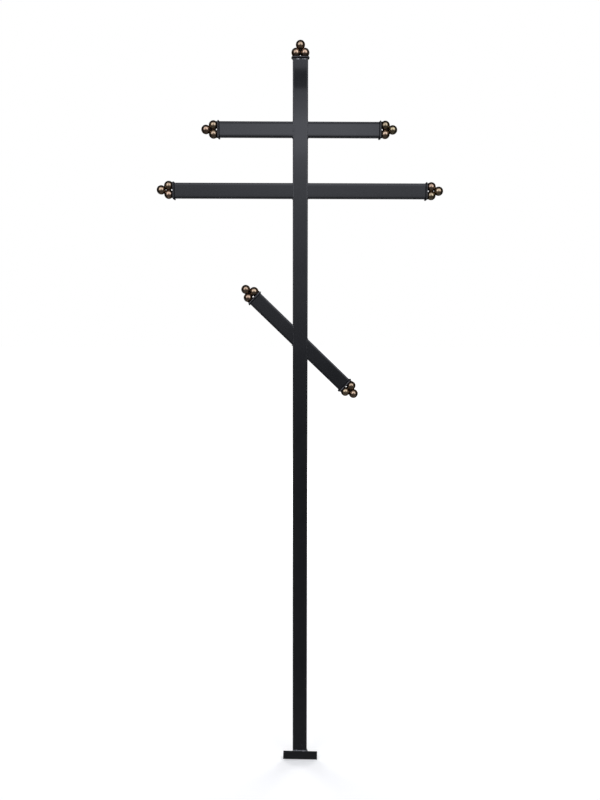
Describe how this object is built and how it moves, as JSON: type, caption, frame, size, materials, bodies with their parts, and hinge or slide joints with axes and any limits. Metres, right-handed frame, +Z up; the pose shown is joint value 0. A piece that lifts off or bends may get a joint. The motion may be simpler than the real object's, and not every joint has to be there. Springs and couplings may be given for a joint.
{
  "type": "grave cross",
  "caption": "Tall eight-pointed grave cross of welded rectangular steel tube, painted black, with a slanted footrest and bronze-tinted balls at its ends.",
  "frame": {"origin": "on the flat underside of the foot angle, on the post's axis, where the cross meets the bottom of its hole or its plinth", "axes": "+Z up the post, +X to the viewer's right along the two level arms, -Y out of the front faces; the footrest's high end is on -X"},
  "size_m": [0.7808, 0.026, 2.0314],
  "materials": {
    "black_paint": "black enamel on steel tube, semi-gloss, faintly uneven",
    "bronze_patina": "dark steel balls rubbed with bronze paint, glossy on the crowns, near black in the hollows"
  },
  "bodies": {
    "root": {"post": "black_paint", "foot_angle": "black_paint", "arm_upper_left": "black_paint", "arm_upper_right": "black_paint", "arm_middle_left": "black_paint", "arm_middle_right": "black_paint", "arm_footrest_high": "black_paint", "arm_footrest_low": "black_paint", "plate_top": "black_paint", "plate_upper_left": "black_paint", "plate_upper_right": "black_paint", "plate_middle_left": "black_paint", "plate_middle_right": "black_paint", "plate_footrest_high": "black_paint", "plate_footrest_low": "black_paint", "ball_top_tip": "bronze_patina", "ball_upper_left_tip": "bronze_patina", "ball_upper_right_tip": "bronze_patina", "ball_middle_left_tip": "bronze_patina", "ball_middle_right_tip": "bronze_patina", "ball_footrest_high_tip": "bronze_patina", "ball_footrest_low_tip": "bronze_patina", "ball_top_left": "bronze_patina", "ball_top_right": "bronze_patina", "ball_upper_left_low": "bronze_patina", "ball_upper_left_high": "bronze_patina", "ball_upper_right_high": "bronze_patina", "ball_upper_right_low": "bronze_patina", "ball_middle_left_low": "bronze_patina", "ball_middle_left_high": "bronze_patina", "ball_middle_right_high": "bronze_patina", "ball_middle_right_low": "bronze_patina", "ball_footrest_high_low": "bronze_patina", "ball_footrest_high_high": "bronze_patina", "ball_footrest_low_high": "bronze_patina", "ball_footrest_low_low": "bronze_patina"}
  },
  "joints": []
}
